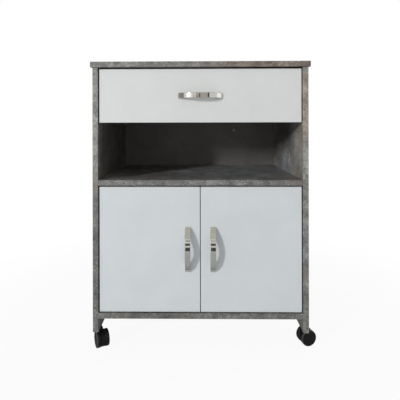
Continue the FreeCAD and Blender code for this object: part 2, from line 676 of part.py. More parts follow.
def add_hinge_mount(z):
    """Arm, plate and plate screws of both doors at one height."""
    arm = hinge_arm(z)
    plate = hinge_plate(z)
    deep_middle = (PLATE_DEEP + ARM_BACK_DEEP) / 2
    seats = []
    for sign in (-1, 1):
        seats.append(at(PLATE_THICKNESS, deep_middle, z + sign * PLATE_SCREW_SPACING / 2))
    for seat in seats:
        plate = plate.cut(rod(SCREW_DIAMETER + 2 * FIT, seat, X * -1, PLATE_THICKNESS))
    for name, sign in SIDES:
        turn = mirrored if sign > 0 else (lambda shape: shape)
        group("hinge_arms", turn(arm))
        group("hinge_plates", turn(plate))
        for seat in seats:
            head = Vector(-sign * seat.x, seat.y, seat.z)
            screw("carcass_screws", head, X * sign, (name + "_side_panel",))


# Twin-wheel casters, built with the swivel axis on the origin and the wheels trailing along +X
def make_casters():
    radius = WHEEL_DIAMETER / 2
    axle = Vector(TRAIL, 0, radius)
    web = WHEEL_SPACING - 2 * WHEEL_CLEARANCE
    boss_top = WHEEL_DIAMETER + BOSS_ABOVE_WHEELS
    boss = rod(BOSS_DIAMETER, Vector(0, 0, radius), Z, boss_top - radius)
    swept = rod(WHEEL_DIAMETER + 2 * WHEEL_CLEARANCE, axle - Y * WHEEL_DIAMETER, Y, 2 * WHEEL_DIAMETER)
    web_disc = rod(WHEEL_DIAMETER - 2 * WEB_INSET, axle - Y * (web / 2), Y, web)
    half_boss = BOSS_DIAMETER / 2
    neck_points = [
        Vector(-half_boss, -web / 2, boss_top),
        Vector(-half_boss, -web / 2, boss_top - STEM_IN_BOSS - BOSS_DIAMETER / 2),
        Vector(0, -web / 2, radius),
        axle - Y * (web / 2),
        Vector(TRAIL, -web / 2, WHEEL_DIAMETER - WEB_INSET),
        Vector(half_boss, -web / 2, boss_top),
    ]
    neck = Part.Face(Part.makePolygon(neck_points + neck_points[:1])).extrude(Y * web)
    hood = joined([boss.cut(swept), web_disc, neck])
    axle_half = WHEEL_SPACING / 2 + AXLE_IN_WHEEL
    stem_low = boss_top - STEM_IN_BOSS
    axle_hole = rod(AXLE_DIAMETER + 2 * FIT, axle - Y * axle_half, Y, 2 * axle_half)
    stem_hole = rod(STEM_DIAMETER + 2 * FIT, Vector(0, 0, stem_low), Z, STEM_IN_BOSS + SLACK)
    hood = hood.cut([axle_hole, stem_hole])
    stem = joined(
        [
            rod(STEM_DIAMETER, Vector(0, 0, stem_low), Z, CASTER_HEIGHT + STEM_IN_SIDE - stem_low),
            rod(COLLAR_DIAMETER, Vector(0, 0, boss_top), Z, COLLAR_HEIGHT),
        ]
    )
    pin = rod(AXLE_DIAMETER, axle - Y * axle_half, Y, 2 * axle_half)
    wheel = rod(WHEEL_DIAMETER, axle + Y * (WHEEL_SPACING / 2), Y, WHEEL_WIDTH)
    rims = [edge for edge in wheel.Edges if edge.BoundBox.YLength < WHEEL_BEVEL]
    wheel = wheel.makeChamfer(WHEEL_BEVEL, rims)
    outer_face = axle + Y * (WHEEL_SPACING / 2 + WHEEL_WIDTH)
    dish = rod(WHEEL_DISH_DIAMETER, outer_face, Y * -1, WHEEL_DISH_DEPTH)
    wheel_bore = rod(AXLE_DIAMETER + 2 * FIT, axle, Y, axle_half + SLACK)
    wheel = wheel.cut([dish, wheel_bore])
    other_wheel = wheel.mirror(axle, Y)
    sleeve = rod(SOCKET_DIAMETER, Vector(0, 0, CASTER_HEIGHT), Z, SOCKET_LENGTH)
    bore = rod(STEM_DIAMETER + 2 * FIT, Vector(0, 0, 0), Z, CASTER_HEIGHT + STEM_IN_SIDE + FIT)
    socket = sleeve.cut(bore)
    socket_hole = rod(SOCKET_DIAMETER + 2 * FIT, Vector(0, 0, CASTER_HEIGHT), Z, SOCKET_LENGTH + SLACK)
    across = INNER_HALF + BOARD / 2
    rows = (
        ("front_left", -across, Y_FRONT + CASTER_INSET, FRONT_LEFT_TRAIL_ANGLE),
        ("front_right", across, Y_FRONT + CASTER_INSET, FRONT_RIGHT_TRAIL_ANGLE),
        ("rear_left", -across, Y_BACK - CASTER_INSET, REAR_LEFT_TRAIL_ANGLE),
        ("rear_right", across, Y_BACK - CASTER_INSET, REAR_RIGHT_TRAIL_ANGLE),
    )
    for name, x, y, angle in rows:
        pieces = {"hood": [hood], "pins": [stem, pin], "wheel_a": [other_wheel], "wheel_b": [wheel]}
        for piece, shapes in pieces.items():
            placed = []
            for shape in shapes:
                copy = shape.copy()
                copy.rotate(Vector(0, 0, 0), Z, angle)
                copy.translate(Vector(x, y, 0))
                placed.append(copy)
            nodes[name + "_caster_" + piece] = placed
        seat = Vector(x, y, 0)
        socket_here = socket.copy()
        socket_here.translate(seat)
        group("caster_sockets", socket_here)
        hole_here = socket_hole.copy()
        hole_here.translate(seat)
        cut_from("left_side_panel" if x < 0 else "right_side_panel", hole_here)


make_boards()
make_board_joints()
make_back_fixings()
make_drawer()
make_runners()
make_doors()
make_casters()

os.makedirs("parts", exist_ok=True)
for node_name, shape in nodes.items():
    if isinstance(shape, list):
        shape = shape[0] if len(shape) == 1 else Part.makeCompound(shape)
    if node_name in cuts:
        shape = shape.cut(cuts[node_name])
    shape.exportStep("parts/" + node_name + ".step")
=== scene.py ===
import json
import math
import bmesh
import bpy
from mathutils import Matrix, Vector

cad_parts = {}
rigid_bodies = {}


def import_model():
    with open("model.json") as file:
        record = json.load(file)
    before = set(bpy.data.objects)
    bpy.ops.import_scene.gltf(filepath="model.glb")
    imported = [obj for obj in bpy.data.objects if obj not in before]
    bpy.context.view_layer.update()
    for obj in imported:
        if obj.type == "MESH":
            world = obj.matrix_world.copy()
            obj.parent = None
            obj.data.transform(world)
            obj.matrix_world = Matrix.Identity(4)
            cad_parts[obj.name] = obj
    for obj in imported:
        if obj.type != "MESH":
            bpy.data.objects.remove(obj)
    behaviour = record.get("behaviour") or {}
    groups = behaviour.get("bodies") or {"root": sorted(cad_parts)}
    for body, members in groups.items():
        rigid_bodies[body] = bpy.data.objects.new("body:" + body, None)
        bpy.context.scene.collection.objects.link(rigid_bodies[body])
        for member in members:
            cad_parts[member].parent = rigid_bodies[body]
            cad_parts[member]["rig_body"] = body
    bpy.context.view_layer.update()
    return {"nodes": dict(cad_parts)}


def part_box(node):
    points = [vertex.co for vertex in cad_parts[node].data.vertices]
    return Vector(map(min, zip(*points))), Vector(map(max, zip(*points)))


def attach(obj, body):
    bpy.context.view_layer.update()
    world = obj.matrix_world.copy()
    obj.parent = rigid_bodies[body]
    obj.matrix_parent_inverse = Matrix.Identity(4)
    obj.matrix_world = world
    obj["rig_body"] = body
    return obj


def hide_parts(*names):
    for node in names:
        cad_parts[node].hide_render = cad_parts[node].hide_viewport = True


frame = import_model()


# Carcass boards: top, two sides, shelf and bottom of 15 mm chipboard, faced with a grey concrete print.
# Edges that show carry a 0.9 mm band glued on by machine; back edges and drill holes show the raw chips.
class Field:
    """One socket of a node tree. Arithmetic on it adds Math nodes to that tree."""

    def __init__(self, tree, socket):
        self.tree = tree
        self.socket = socket

    def node(self, kind, settings=(), sockets=(), give=0):
        """Adds a node: its settings first, then the values or links of its sockets. Gives one output."""
        made = self.tree.nodes.new(kind)
        for name, value in dict(settings).items():
            if name == "stops":
                while len(made.color_ramp.elements) < len(value):
                    made.color_ramp.elements.new(1.0)
                for element, (position, colour) in zip(made.color_ramp.elements, value):
                    element.position = position
                    element.color = colour
            else:
                setattr(made, name, value)
        for name, value in dict(sockets).items():
            for link in value if isinstance(value, list) else [value]:
                if isinstance(link, Field):
                    self.tree.links.new(link.socket, made.inputs[name])
                else:
                    made.inputs[name].default_value = link
        return Field(self.tree, made.outputs[give]) if made.outputs else None

    def maths(self, operation, first, second):
        return self.node("ShaderNodeMath", {"operation": operation}, {0: first, 1: second})

    def __add__(self, other):
        return self.maths("ADD", self, other)

    def __radd__(self, other):
        return self.maths("ADD", other, self)

    def __sub__(self, other):
        return self.maths("SUBTRACT", self, other)

    def __rsub__(self, other):
        return self.maths("SUBTRACT", other, self)

    def __mul__(self, other):
        return self.maths("MULTIPLY", self, other)

    def __rmul__(self, other):
        return self.maths("MULTIPLY", other, self)

    def __truediv__(self, other):
        return self.maths("DIVIDE", self, other)

    def __rtruediv__(self, other):
        return self.maths("DIVIDE", other, self)

    def __abs__(self):
        return self.node("ShaderNodeMath", {"operation": "ABSOLUTE"}, {0: self})


def tint(red, green, blue):
    """A colour as a screen shows it, 0 to 255, in the linear values that a shader takes."""
    linear = []
    for value in (red / 255, green / 255, blue / 255):
        linear.append(value / 12.92 if value <= 0.04045 else ((value + 0.055) / 1.055) ** 2.4)
    return (*linear, 1.0)


def new_finish(name):
    """An empty finish, and the place on the piece, in metres, that its pattern is drawn from."""
    made = bpy.data.materials.new(name)
    made.use_nodes = True
    coordinates = made.node_tree.nodes.new("ShaderNodeTexCoord")
    return made, Field(made.node_tree, coordinates.outputs["Object"])


def redrawn(place, **changes):
    """The place moved by a Location or stretched by a Scale, to draw a pattern another way there."""
    return place.node("ShaderNodeMapping", {}, {"Vector": place, **changes})


def finish_with(made, relief=None, depth=0.0001, strength=0.5, **looks):
    """Feeds the shader: a field is linked and a plain value set. Relief is a height for the bump."""
    shader = made.node_tree.nodes["Principled BSDF"]
    for name, value in looks.items():
        socket = shader.inputs[name.replace("_", " ").title()]
        if isinstance(value, Field):
            made.node_tree.links.new(value.socket, socket)
        else:
            socket.default_value = value
    if relief:
        sockets = {"Strength": strength, "Distance": depth, "Height": relief}
        bump = relief.node("ShaderNodeBump", {}, sockets)
        made.node_tree.links.new(bump.socket, shader.inputs["Normal"])
    return made


def mottle(place, size, detail=2.0, roughness=0.5):
    """Cloudy pattern about 0.5, with blotches of that size in metres."""
    sockets = {"Vector": place, "Scale": 1 / size, "Detail": detail, "Roughness": roughness}
    return place.node("ShaderNodeTexNoise", {}, sockets)


def grains(place, size, give=0):
    """Scattered grains: the distance from their middles in spacings, or with give=1 a colour for each."""
    return place.node("ShaderNodeTexVoronoi", {}, {"Vector": place, "Scale": 1 / size}, give)


def ease(field, start, end):
    """0 up to start and 1 from end on, with a soft change between. Start may lie above end."""
    settings = {"interpolation_type": "SMOOTHSTEP"}
    if start < end:
        return field.node("ShaderNodeMapRange", settings, {0: field, 1: start, 2: end})
    return field.node("ShaderNodeMapRange", settings, {0: field, 1: end, 2: start, 3: 1.0, 4: 0.0})


def blend(mask, under, over, way="MIX"):
    """One colour over another, as much as the mask says."""
    settings = {"data_type": "RGBA", "blend_type": way}
    return mask.node("ShaderNodeMix", settings, {0: mask, 6: under, 7: over}, 2)


def ramp(field, *stops):
    """Colours along a field."""
    return field.node("ShaderNodeValToRGB", {"stops": stops}, {0: field})


def along_axes(place):
    """The three parts of a place."""
    split = place.node("ShaderNodeSeparateXYZ", {}, {0: place}).socket.node
    return [Field(place.tree, socket) for socket in split.outputs]


def edge_distance(place, low, high):
    """How far a point on the face of a straight board lies from its nearest edge, in metres."""
    x, y, z = [
        (high[i] - low[i]) / 2 - abs(axis - (high[i] + low[i]) / 2)
        for i, axis in enumerate(along_axes(place))
    ]
    least = x.maths("MINIMUM", x.maths("MINIMUM", x, y), z)
    most = x.maths("MAXIMUM", x.maths("MAXIMUM", x, y), z)
    return x + y + z - least - most


def band_seam(place, seams):
    """Thin dark glue line where a band meets the face. Seams are (axis, position) pairs."""
    axes = along_axes(place)
    line = None
    for axis, position in seams:
        here = ease(abs(axes[axis] - position), 0.00022, 0.00008)
        line = here if line is None else here.maths("MAXIMUM", line, here)
    return line


def concrete_print(name, node, shift, seams, patches):
    """Satin melamine printed as concrete. Patches are (middle, reach, shade, strength) of broad stains and
    of painted light and shade.
    """
    made, place = new_finish(name)
    low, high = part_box(node)
    print_place = redrawn(place, Location=(0.37 * shift, 0.21 * shift, 0.53 * shift))
    clouds = mottle(print_place, 0.10, 4.0, 0.6)
    stains = mottle(print_place, 0.028, 3.0, 0.62)
    speckle = mottle(print_place, 0.0085, 2.0, 0.6)
    grit = mottle(print_place, 0.0042, 2.0, 0.6)
    tone = clouds * 0.32 + stains * 0.27 + speckle * 0.25 + grit * 0.16
    plain = tint(124, 123, 120)
    colour = ramp(tone, (0.38, tint(80, 80, 79)), (0.5, plain), (0.62, tint(168, 167, 163)))
    warm = ease(mottle(print_place, 0.075, 2.0), 0.52, 0.70) * 0.45
    colour = blend(warm, colour, tint(129, 118, 109))
    # Some patches are painted light and painted shade inside the niche, not stains in the print.
    for middle, reach, shade, strength in patches:
        away = place.node("ShaderNodeVectorMath", {"operation": "DISTANCE"}, {0: place, 1: middle}, 1)
        change = tuple(new / old for new, old in zip(tint(*shade), plain))
        colour = blend(ease(away, reach, reach * 0.3) * strength, colour, change, "MULTIPLY")
    pores = ease(grains(print_place, 0.011), 0.26, 0.14) * ease(stains, 0.46, 0.56)
    colour = blend(pores * 0.75, colour, tint(56, 56, 56))
    flecks = ease(grains(print_place, 0.0095), 0.28, 0.15) * ease(clouds, 0.42, 0.56)
    colour = blend(flecks * 0.55, colour, tint(186, 185, 180))
    edge = edge_distance(place, low, high)
    wear = ease(edge, 0.0022, 0.0) * ease(stains, 0.5, 0.62)
    colour = blend(wear * 0.35, colour, tint(172, 171, 167))
    seam = band_seam(place, seams)
    colour = blend(seam * 0.5, colour, tint(64, 63, 61))
    rough = 0.40 + grit * 0.22 - wear * 0.08
    relief = grit * 0.5 + stains * 0.3 - pores * 0.8 - seam * 0.6
    return finish_with(made, relief, 0.00018, 0.45, base_color=colour, roughness=rough)


def raw_chips(name):
    """Cut chipboard: pressed chips of pale and brown wood with dark gaps."""
    made, place = new_finish(name)
    chips = along_axes(grains(place, 0.0032, 1))[0]
    gaps = ease(grains(place, 0.0032), 0.35, 0.65)
    colour = ramp(chips, (0.0, tint(136, 104, 72)), (0.5, tint(186, 152, 112)), (1.0, tint(212, 184, 146)))
    colour = blend(gaps * 0.55, colour, tint(92, 68, 46))
    dust = mottle(place, 0.02, 3.0)
    colour = blend(ease(dust, 0.5, 0.8) * 0.3, colour, tint(206, 186, 158))
    return finish_with(made, chips * 0.6 - gaps, 0.0004, 0.6, base_color=colour, roughness=0.82 + dust * 0.1)


def new_piece(name, mesh, node):
    """A finished piece that stands for a CAD node and moves with its body."""
    piece = bpy.data.objects.new(name, mesh)
    bpy.context.scene.collection.objects.link(piece)
    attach(piece, frame["nodes"][node]["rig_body"])
    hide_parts(node)


# Corners of a CAD mesh closer than WELD are one corner; a face deeper in than SKIN is in a drill hole.
WELD, SKIN = 0.000001, 0.0014


def faced_board(name, node, face, core, raw_sides=()):
    """A board with its print on the outside, and its core in drill holes and on the raw sides."""
    low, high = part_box(node)
    shape = bmesh.new()
    shape.from_mesh(frame["nodes"][node].data)
    bmesh.ops.remove_doubles(shape, verts=shape.verts, dist=WELD)
    for side in shape.faces:
        middle = side.calc_center_median()
        inside = min(min(middle[i] - low[i], high[i] - middle[i]) for i in range(3)) > SKIN
        raw = any(side.normal.dot(Vector(way)) > 0.9 for way in raw_sides)
        side.material_index = 1 if inside or raw else 0
        side.smooth = False
    mesh = bpy.data.meshes.new(name)
    shape.to_mesh(mesh)
    shape.free()
    mesh.materials.append(face)
    mesh.materials.append(core)
    new_piece(name, mesh, node)


chipboard = raw_chips("chipboard_core")
BAND = 0.0009
front_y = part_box("left_side_panel")[0].y
top_low, top_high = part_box("top_panel")
top_seams = [(1, top_low.y + BAND), (1, top_high.y - BAND), (0, top_low.x + BAND), (0, top_high.x - BAND)]
front_seam = [(1, front_y + BAND)]
UP, DOWN, BACK, LEFT, RIGHT = (0, 0, 1), (0, 0, -1), (0, 1, 0), (-1, 0, 0), (1, 0, 0)
SIDE_X = (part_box("right_side_panel")[0].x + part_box("right_side_panel")[1].x) / 2
top_stains = [
    ((0.19, front_y, 0.79), 0.24, (120, 105, 95), 0.75),
    ((0.30, front_y, 0.79), 0.07, (104, 100, 96), 0.8),
]
left_stains_and_painted_shade = [
    ((-SIDE_X, front_y, 0.21), 0.27, (82, 83, 81), 0.64),
    ((-SIDE_X, front_y, 0.42), 0.08, (142, 142, 139), 0.5),
    ((-SIDE_X, front_y, 0.70), 0.16, (146, 146, 142), 0.45),
    # The last row is painted shade on the inner wall of the niche.
    ((-SIDE_X, 0.03, 0.56), 0.26, (86, 84, 80), 0.85),
]
right_stains_painted_light_and_shade = [
    ((SIDE_X, front_y, 0.68), 0.13, (150, 138, 124), 0.75),
    ((SIDE_X, front_y, 0.56), 0.11, (142, 142, 136), 0.7),
    ((SIDE_X, front_y, 0.47), 0.16, (146, 144, 138), 0.75),
    ((SIDE_X, front_y, 0.30), 0.12, (108, 109, 109), 0.75),
    # The last two rows are painted light low on the niche wall and painted shade of the drawer high on it.
    ((SIDE_X, 0.0, 0.47), 0.13, (152, 156, 159), 0.75),
    ((SIDE_X, 0.05, 0.66), 0.20, (76, 76, 76), 0.8),
]
shelf_stains_and_painted_light = [
    ((0.03, front_y, 0.468), 0.45, (98, 98, 98), 0.6),
    # The second row is painted light on the top of the shelf in the niche.
    ((0.08, 0.06, 0.476), 0.28, (154, 159, 163), 0.8),
]
bottom_stains = [((0.02, front_y, 0.105), 0.45, (88, 89, 88), 0.55)]
board_rows = (
    ("concrete_top", "top_panel", 1, top_seams, top_stains, ()),
    ("concrete_left_side", "left_side_panel", 2, front_seam, left_stains_and_painted_shade, (BACK, UP, DOWN)),
    ("concrete_right_side", "right_side_panel", 3, front_seam, right_stains_painted_light_and_shade, (BACK, UP, DOWN)),
    ("concrete_shelf", "middle_shelf", 4, front_seam, shelf_stains_and_painted_light, (BACK, LEFT, RIGHT)),
    ("concrete_bottom", "bottom_panel", 5, front_seam, bottom_stains, (BACK, LEFT, RIGHT)),
)
for board_name, board_node, board_shift, seams, patches, raw_sides in board_rows:
    board_print = concrete_print(board_name + "_print", board_node, board_shift, seams, patches)
    faced_board(board_name, board_node, board_print, chipboard, raw_sides)


# Back panel: one sheet of 3 mm hardboard, nailed on from behind. Its inner face is printed dark grey to
# go with the boards, its outer face is left brown and shows the mesh of the press.
def printed_hardboard():
    made, place = new_finish("hardboard_inner_print")
    smoke = mottle(place, 0.14, 4.0, 0.6)
    fibres = mottle(place, 0.0025, 3.0, 0.65)
    colour = ramp(smoke * 0.7 + fibres * 0.3, (0.35, tint(94, 92, 91)), (0.65, tint(118, 115, 113)))
    rough = 0.5 + fibres * 0.25
    return finish_with(made, fibres, 0.0001, 0.4, base_color=colour, roughness=rough)


def raw_hardboard():
    made, place = new_finish("hardboard_outer_face")
    across, _, upward = along_axes(place)
    weave = 0.0016
    waves = []
    for axis in (across, upward):
        turns = axis * (2 * math.pi / weave)
        waves.append(turns.node("ShaderNodeMath", {"operation": "SINE"}, {0: turns}))
    press_mesh = waves[0] * waves[1]
    fibres = mottle(place, 0.0032, 4.0, 0.7)
    blotches = mottle(place, 0.09, 4.0, 0.6)
    tone = fibres * 0.45 + blotches * 0.55
    colour = ramp(tone, (0.34, tint(96, 66, 42)), (0.5, tint(126, 90, 60)), (0.66, tint(152, 114, 80)))
    colour = blend(ease(press_mesh, 0.2, 0.9) * 0.22, colour, tint(84, 58, 38))
    relief = fibres * 0.5 - press_mesh * 0.3
    return finish_with(made, relief, 0.0002, 0.5, base_color=colour, roughness=0.78 + fibres * 0.15)


hardboard_brown = raw_hardboard()
raw_sides = (BACK, LEFT, RIGHT, UP, DOWN)
faced_board("hardboard_back", "back_panel", printed_hardboard(), hardboard_brown, raw_sides)


# Cap in the back panel: a small plug of pale plastic that closes a hole in the hardboard. It is moulded
# with a domed head and a tapered end, and pressed in from the niche.
def turned(profile, centre, axis, steps=48):
    """A closed shape turned on a lathe, from (radius, distance along the axis) points."""
    nothing = 0.0000001
    turn = Vector((0, 0, 1)).rotation_difference(Vector(axis)).to_matrix().to_4x4()
    placed = Matrix.Translation(centre) @ turn
    shape = bmesh.new()
    rings = []
    for radius, distance in profile:
        if radius < nothing:
            rings.append([shape.verts.new((0, 0, distance))])
            continue
        ring = []
        for step in range(steps):
            angle = 2 * math.pi * step / steps
            ring.append(shape.verts.new((radius * math.cos(angle), radius * math.sin(angle), distance)))
        rings.append(ring)
    for lower, upper in zip(rings, rings[1:]):
        for step in range(steps):
            after = (step + 1) % steps
            corners = [lower[step % len(lower)], lower[after % len(lower)]]
            corners += [upper[after % len(upper)], upper[step % len(upper)]]
            distinct = list(dict.fromkeys(corners))
            if len(distinct) > 2:
                shape.faces.new(distinct)
    bmesh.ops.remove_doubles(shape, verts=shape.verts, dist=nothing)
    bmesh.ops.recalc_face_normals(shape, faces=shape.faces)
    bmesh.ops.transform(shape, matrix=placed, verts=shape.verts)
    return shape


def smooth_mesh(name, shape, finish, sharp_from=32):
    """A mesh with soft shading, split where its faces meet at more than the given angle."""
    mesh = bpy.data.meshes.new(name)
    shape.to_mesh(mesh)
    shape.free()
    mesh.shade_smooth()
    mesh.set_sharp_from_angle(angle=math.radians(sharp_from))
    mesh.materials.append(finish)
    return mesh


def arc_points(centre, radius, start, end, steps=6):
    """Points of a quarter round in a lathe profile, from one angle to another, in degrees."""
    points = []
    for step in range(steps + 1):
        angle = math.radians(start + (end - start) * step / steps)
        points.append((centre[0] + radius * math.cos(angle), centre[1] + radius * math.sin(angle)))
    return points


def pale_plastic():
    made, place = new_finish("cap_pale_plastic")
    cloud = mottle(place, 0.004, 3.0)
    colour = ramp(cloud, (0.3, tint(150, 150, 148)), (0.7, tint(172, 172, 170)))
    return finish_with(made, cloud, 0.00005, 0.4, base_color=colour, roughness=0.4 + cloud * 0.15)


cap_low, cap_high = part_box("back_panel_cap")
cap_middle = (cap_low + cap_high) / 2
cap_radius = (cap_high.x - cap_low.x) / 2
cap_depth = cap_high.y - cap_low.y
HEAD, HEAD_ROUND, PLUG, LEAD_IN = 0.0012, 0.0007, 0.0035, 0.0004
cap_profile = [(0, 0), (cap_radius * 0.55, 0.0001)]
cap_profile += arc_points((cap_radius - HEAD_ROUND, 0.0009), HEAD_ROUND, -60, 0)
cap_profile += [(cap_radius, HEAD), (PLUG, HEAD), (PLUG, cap_depth - LEAD_IN)]
cap_profile += [(0.003, cap_depth), (0, cap_depth)]
cap_shape = turned(cap_profile, (cap_middle.x, cap_low.y, cap_middle.z), (0, 1, 0))
cap_mesh = smooth_mesh("plastic_cap", cap_shape, pale_plastic())
new_piece("plastic_cap", cap_mesh, "back_panel_cap")


# Nails of the back panel: steel wire nails with flat heads, driven through the hardboard into the back
# edges of the sides, the shelf and the bottom.
def new_tree(name, sizes):
    """An empty tree that sets one shape on many spots, and its named inputs as fields."""
    tree = bpy.data.node_groups.new(name, "GeometryNodeTree")
    labels = [("Spots", "NodeSocketGeometry")]
    labels += [(size, "NodeSocketFloat") for size in sizes]
    labels += [("Seed", "NodeSocketInt"), ("Finish", "NodeSocketMaterial")]
    for label, kind in labels:
        tree.interface.new_socket(label, in_out="INPUT", socket_type=kind)
    tree.interface.new_socket("Pieces", in_out="OUTPUT", socket_type="NodeSocketGeometry")
    start = tree.nodes.new("NodeGroupInput")
    return tree, {socket.name: Field(tree, socket) for socket in start.outputs if socket.name}


def set_on_spots(inputs, shapes):
    """Ends a tree: the shapes on every spot, driven along the spot's direction and turned at random."""
    spots = inputs["Spots"]
    whole = spots.node("GeometryNodeJoinGeometry", {}, {0: shapes})
    drive = spots.node("GeometryNodeInputNamedAttribute", {"data_type": "FLOAT_VECTOR"}, {"Name": "drive"})
    driven = spots.node("FunctionNodeAlignRotationToVector", {"axis": "Z"}, {"Vector": drive})
    sockets = {2: 0.0, 3: 2 * math.pi, "Seed": inputs["Seed"]}
    angle = spots.node("FunctionNodeRandomValue", {"data_type": "FLOAT"}, sockets, 1)
    twist = spots.node("FunctionNodeAxisAngleToRotation", {}, {"Axis": (0, 0, 1), "Angle": angle})
    turn = spots.node("FunctionNodeRotateRotation", {"rotation_space": "LOCAL"}, {0: driven, 1: twist})
    sockets = {"Points": spots, "Instance": whole, "Rotation": turn}
    placed = spots.node("GeometryNodeInstanceOnPoints", {}, sockets)
    real = spots.node("GeometryNodeRealizeInstances", {}, {"Geometry": placed})
    sockets = {"Geometry": real, "Material": inputs["Finish"]}
    spots.node("NodeGroupOutput", {}, {0: spots.node("GeometryNodeSetMaterial", {}, sockets)})


def cone(start, sides, bottom, top, depth):
    """A length of a fastener, from one radius to another."""
    sockets = {"Vertices": sides, "Radius Bottom": bottom, "Radius Top": top, "Depth": depth}
    return start.node("GeometryNodeMeshCone", {}, sockets)


def lift(shape, height):
    """Moves a shape of a tree along its own axis."""
    up = shape.node("ShaderNodeCombineXYZ", {}, {"Z": height})
    return shape.node("GeometryNodeTransform", {}, {"Geometry": shape, "Translation": up})


def solids_of(node):
    """The corner points of each separate solid in a CAD node."""
    shape = bmesh.new()
    shape.from_mesh(frame["nodes"][node].data)
    bmesh.ops.remove_doubles(shape, verts=shape.verts, dist=WELD)
    seen = set()
    found = []
    for first in shape.verts:
        if first in seen:
            continue
        seen.add(first)
        waiting, points = [first], []
        while waiting:
            corner = waiting.pop()
            points.append(corner.co.copy())
            for edge in corner.link_edges:
                other = edge.other_vert(corner)
                if other not in seen:
                    seen.add(other)
                    waiting.append(other)
        found.append(points)
    shape.free()
    return found


def spots_of(node):
    """For each fastener in a node: the middle of its head, the way it was driven, and its length."""
    flat = 0.0001
    spots = []
    for points in solids_of(node):
        low = Vector([min(point[i] for point in points) for i in range(3)])
        high = Vector([max(point[i] for point in points) for i in range(3)])
        axis = max(range(3), key=lambda i: high[i] - low[i])
        middle = (low + high) / 2
        spread = {}
        for end in (low[axis], high[axis]):
            near = [point - middle for point in points if abs(point[axis] - end) < flat]
            spread[end] = max(math.hypot(*[way[i] for i in range(3) if i != axis]) for way in near)
        head_end = low[axis] if spread[low[axis]] > spread[high[axis]] else high[axis]
        head, way = middle.copy(), Vector((0, 0, 0))
        head[axis] = head_end
        way[axis] = 1 if head_end == low[axis] else -1
        spots.append((head, way, high[axis] - low[axis]))
    return spots


def fastened(name, node, finish, rows):
    """One piece for a node of fasteners. Rows are (tree, spots, sizes of the tree's inputs)."""
    shape = bmesh.new()
    for tree, spots, sizes in rows:
        dots = bpy.data.meshes.new(name + "_spots")
        dots.from_pydata([spot[0] for spot in spots], [], [])
        drive = dots.attributes.new("drive", "FLOAT_VECTOR", "POINT")
        drive.data.foreach_set("vector", [part for spot in spots for part in spot[1]])
        holder = bpy.data.objects.new(name + "_spots", dots)
        bpy.context.scene.collection.objects.link(holder)
        setting = holder.modifiers.new("Fasteners", "NODES")
        setting.node_group = tree
        values = {"Seed": len(spots), "Finish": finish, **sizes}
        for item in tree.interface.items_tree:
            if item.in_out == "INPUT" and item.name in values:
                setting[item.identifier] = values[item.name]
        shown = holder.evaluated_get(bpy.context.evaluated_depsgraph_get())
        made = bpy.data.meshes.new_from_object(shown)
        shape.from_mesh(made)
        bpy.data.objects.remove(holder)
        bpy.data.meshes.remove(made)
    for face in shape.faces:
        face.material_index = 0
    new_piece(name, smooth_mesh(name, shape, finish), node)


def plated_steel(name, dark, light, roughness):
    """Plated steel: faint clouds in the plating, fine rubbed scratches and duller spots."""
    made, place = new_finish(name)
    clouds = mottle(place, 0.006, 3.0, 0.6)
    stretched = redrawn(place, Scale=(1.0, 12.0, 1.0))
    rubbed = mottle(stretched, 0.0022, 2.0, 0.7)
    colour = ramp(clouds * 0.6 + rubbed * 0.4, (0.32, dark), (0.68, light))
    rough = roughness + clouds * 0.14 + rubbed * 0.10 - 0.12
    return finish_with(made, rubbed, 0.00003, 0.35, base_color=colour, roughness=rough, metallic=1.0)


bright_zinc = plated_steel("bright_zinc", tint(150, 154, 158), tint(196, 199, 200), 0.34)
nail_tree, nail = new_tree("wire_nail", ("Head Diameter", "Head Height", "Wire Diameter", "Length"))
head_across = nail["Head Diameter"]
nail_head = cone(nail["Spots"], 20, head_across * 0.42, head_across * 0.5, nail["Head Height"])
wire_end = nail["Length"] - nail["Wire Diameter"] * 1.6
wire_radius = nail["Wire Diameter"] * 0.5
nail_wire = cone(nail["Spots"], 12, wire_radius, wire_radius, wire_end)
nail_point = lift(cone(nail["Spots"], 12, wire_radius, 0.0, nail["Length"] - wire_end), wire_end)
set_on_spots(nail, [nail_head, nail_wire, nail_point])
nail_spots = spots_of("back_panel_nails")
nail_sizes = {"Head Diameter": 0.005, "Head Height": 0.0007, "Wire Diameter": 0.0018}
nail_sizes["Length"] = nail_spots[0][2]
fastened("wire_nails", "back_panel_nails", bright_zinc, [(nail_tree, nail_spots, nail_sizes)])


# Board joints: die-cast cam locks turned with a screwdriver, steel bolts that they draw in, and glued
# beech dowels that keep the boards in line. They sit in drill holes and hardly show.
def die_cast_zinc():
    made, place = new_finish("die_cast_zinc")
    skin = mottle(place, 0.0018, 4.0, 0.65)
    flow = mottle(place, 0.007, 2.0)
    colour = ramp(skin * 0.5 + flow * 0.5, (0.35, tint(122, 124, 126)), (0.65, tint(168, 170, 171)))
    rough = 0.42 + skin * 0.2
    return finish_with(made, skin, 0.00008, 0.5, base_color=colour, roughness=rough, metallic=1.0)


def beech_wood():
    made, place = new_finish("beech_dowel_wood")
    stretched = redrawn(place, Scale=(0.15, 1.0, 1.0))
    grain = mottle(stretched, 0.0012, 3.0, 0.6)
    rays = ease(grains(stretched, 0.0011), 0.22, 0.10)
    colour = ramp(grain, (0.35, tint(186, 142, 98)), (0.65, tint(220, 182, 138)))
    colour = blend(rays * 0.5, colour, tint(148, 104, 66))
    rough = 0.62 + grain * 0.15
    return finish_with(made, grain - rays * 0.5, 0.0001, 0.5, base_color=colour, roughness=rough)


def dress(node, finish):
    """Gives a carried-over CAD node its finish."""
    for place in frame["nodes"][node].material_slots:
        place.material = finish


cast_zinc = die_cast_zinc()
dress("cam_locks", cast_zinc)
dress("drawer_cam_locks", cast_zinc)
dress("cam_bolts", bright_zinc)
dress("drawer_cam_bolts", bright_zinc)
dress("wooden_dowels", beech_wood())


